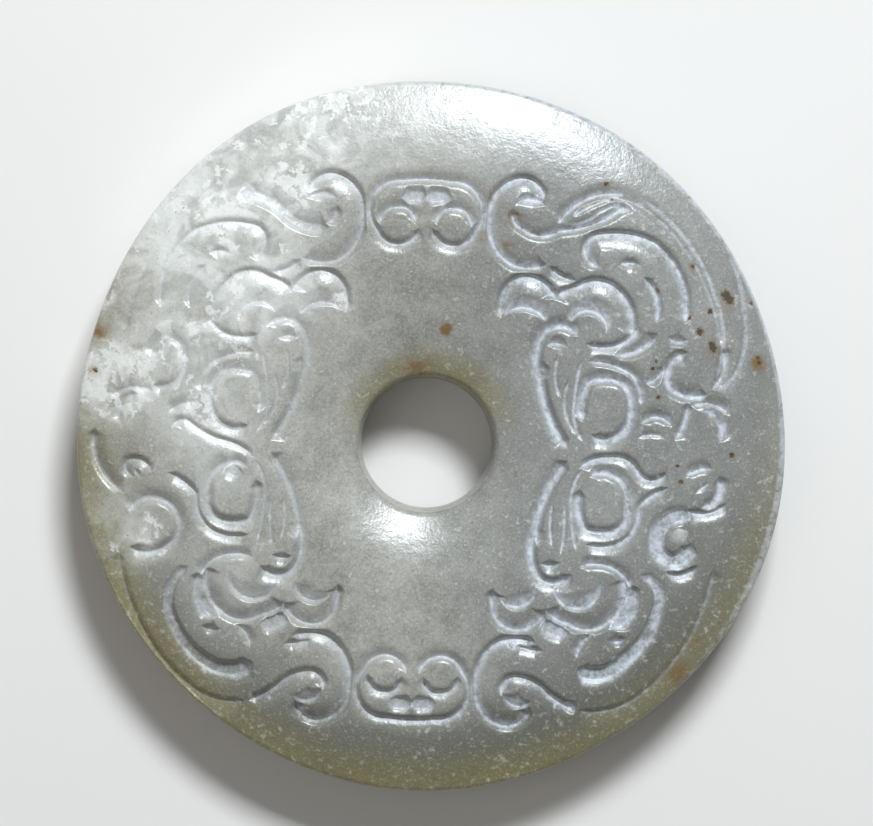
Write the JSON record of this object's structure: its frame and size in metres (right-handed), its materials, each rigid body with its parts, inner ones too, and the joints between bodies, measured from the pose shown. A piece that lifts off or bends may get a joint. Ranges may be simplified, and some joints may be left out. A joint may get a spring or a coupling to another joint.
{
  "type": "carved jade bi disc",
  "caption": "Round domed disc of pale jade with a central hole and scrolling beast masks carved in low relief on its face; it lies on its plain flat back.",
  "frame": {"origin": "middle of the disc on the plane of its flat back, where it rests", "axes": "+Z out of the carved face, +Y towards the top of the carved design, +X to its right"},
  "size_m": [0.0599, 0.0601, 0.0084],
  "materials": {
    "pale_jade": "satin polish"
  },
  "bodies": {
    "root": {"jade_disc": "pale_jade"}
  },
  "joints": []
}
